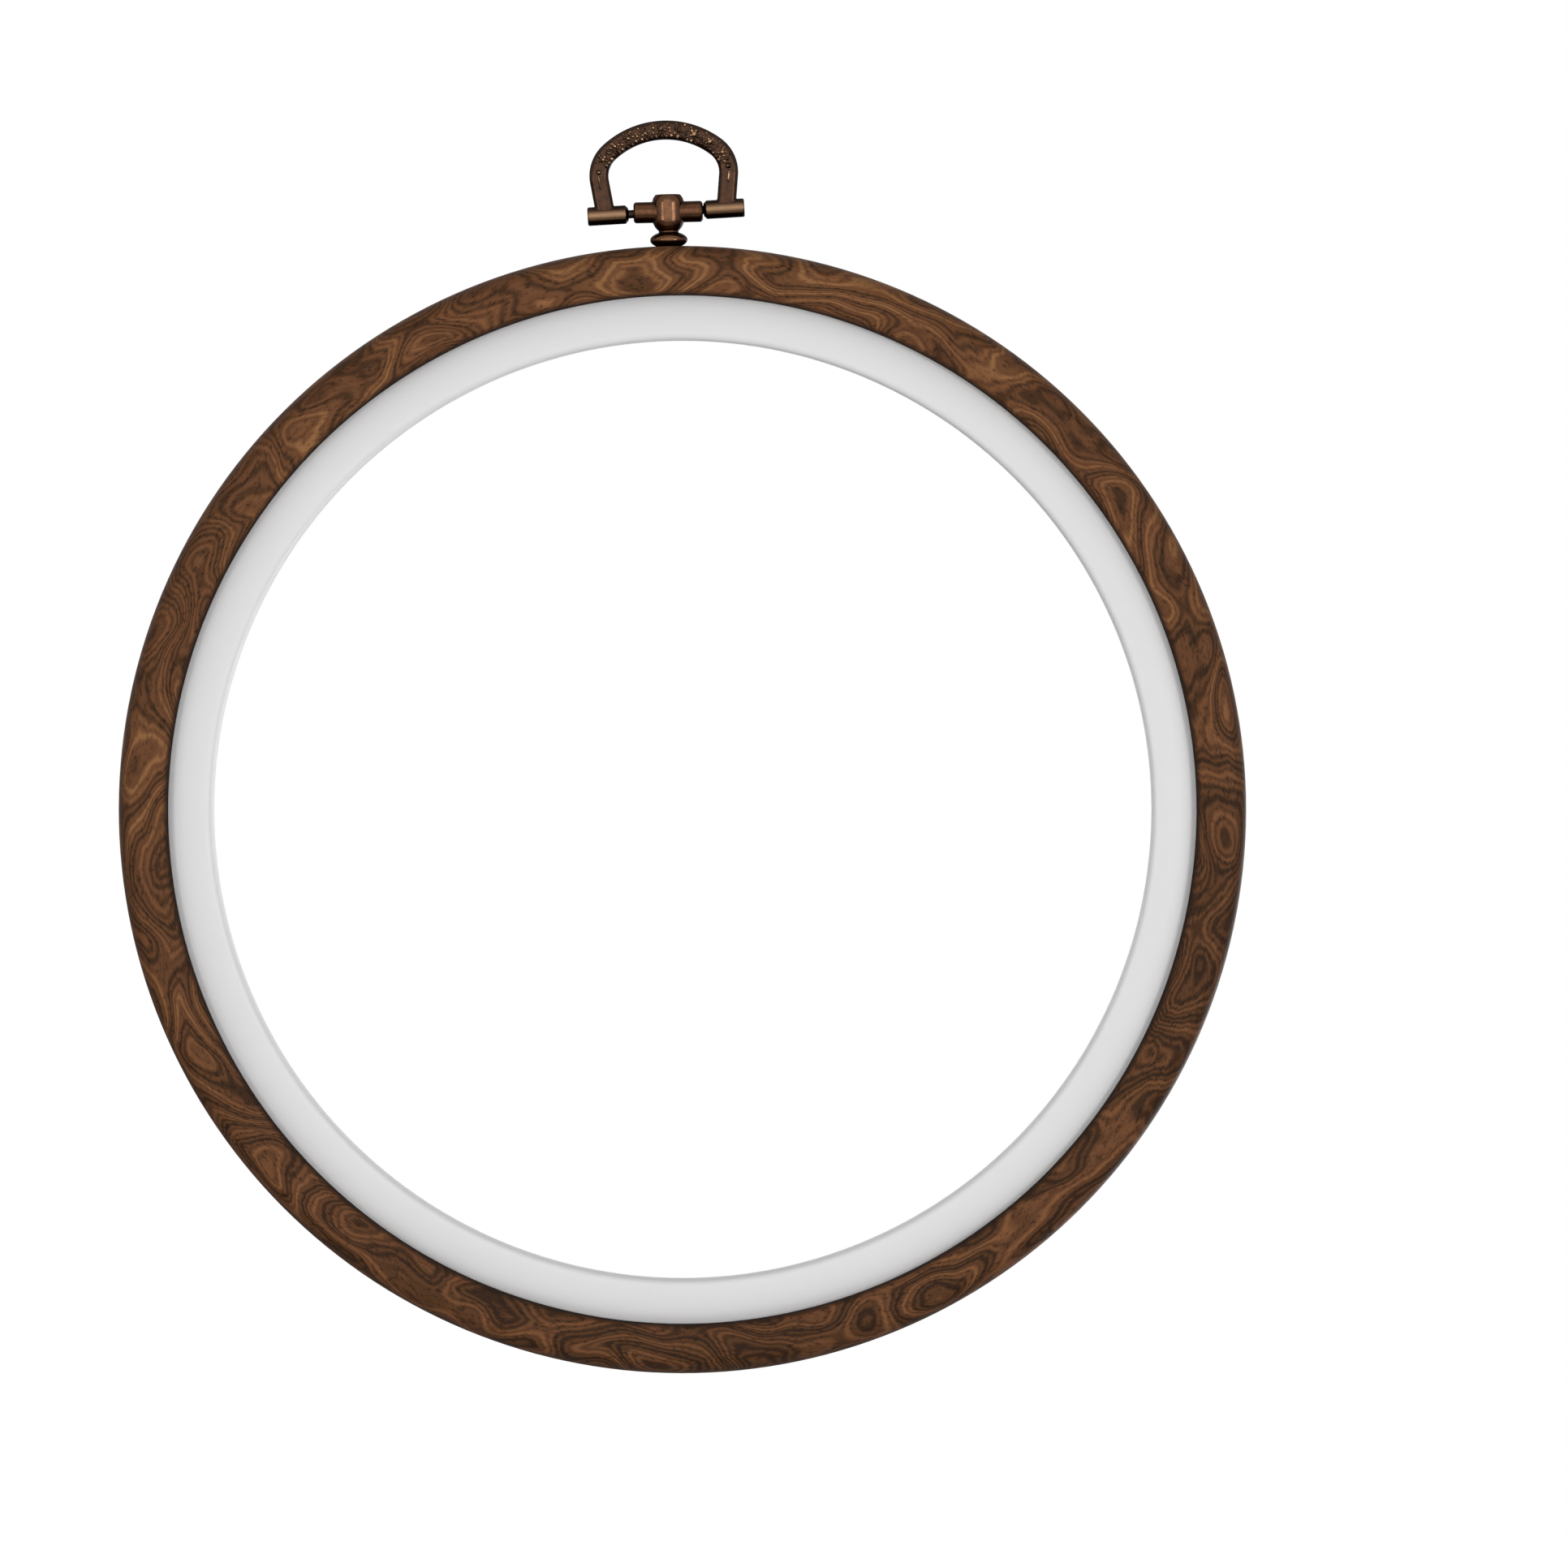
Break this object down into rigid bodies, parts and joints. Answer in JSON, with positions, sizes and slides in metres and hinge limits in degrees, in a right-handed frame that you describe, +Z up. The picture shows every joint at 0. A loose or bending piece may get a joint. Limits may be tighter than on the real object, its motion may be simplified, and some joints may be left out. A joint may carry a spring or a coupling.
{
  "type": "embroidery hoop",
  "caption": "Flexible embroidery hoop: a soft wood-look outer ring over a stiff white inner ring, with a metal hanging loop that folds and swivels on a post.",
  "frame": {"origin": "centre of the work opening, on the hoop's axis at the middle of the outer ring's depth", "axes": "+Y along the hoop's axis towards its back, so the front faces -Y; +Z up from the centre through the hanger; +X to the right seen from the front"},
  "size_m": [0.1476, 0.01, 0.164],
  "materials": {
    "woodgrain_vinyl": "soft vinyl printed as dark walnut, satin",
    "white_plastic": "milky moulded polypropylene, smooth satin",
    "antique_bronze": "antique bronze plating, dark in the recesses and worn bright on the high spots",
    "plated_steel": "dull nickel plating"
  },
  "bodies": {
    "hanger_loop": {"hanger_loop": "antique_bronze"},
    "hanger_post": {"hanger_post": "antique_bronze", "fixing_screw": "plated_steel", "screw_washer": "plated_steel"},
    "outer_ring": {"outer_ring": "woodgrain_vinyl"},
    "inner_ring": {"inner_ring": "white_plastic"}
  },
  "joints": [
    {"name": "hanger_pivot", "type": "hinge", "parent": "hanger_loop", "child": "hanger_post", "pos_m": [0, 0, 0.07825], "axis": [1, 0, 0], "range_deg": [-105, 105]},
    {"name": "post_swivel", "type": "hinge", "parent": "hanger_post", "child": "outer_ring", "pos_m": [0, 0, 0.07365], "axis": [0, 0, 1], "continuous": true},
    {"name": "inner_ring_release", "type": "slide", "parent": "outer_ring", "child": "inner_ring", "axis": [0, 1, 0], "range_m": [0, 0.015]}
  ]
}
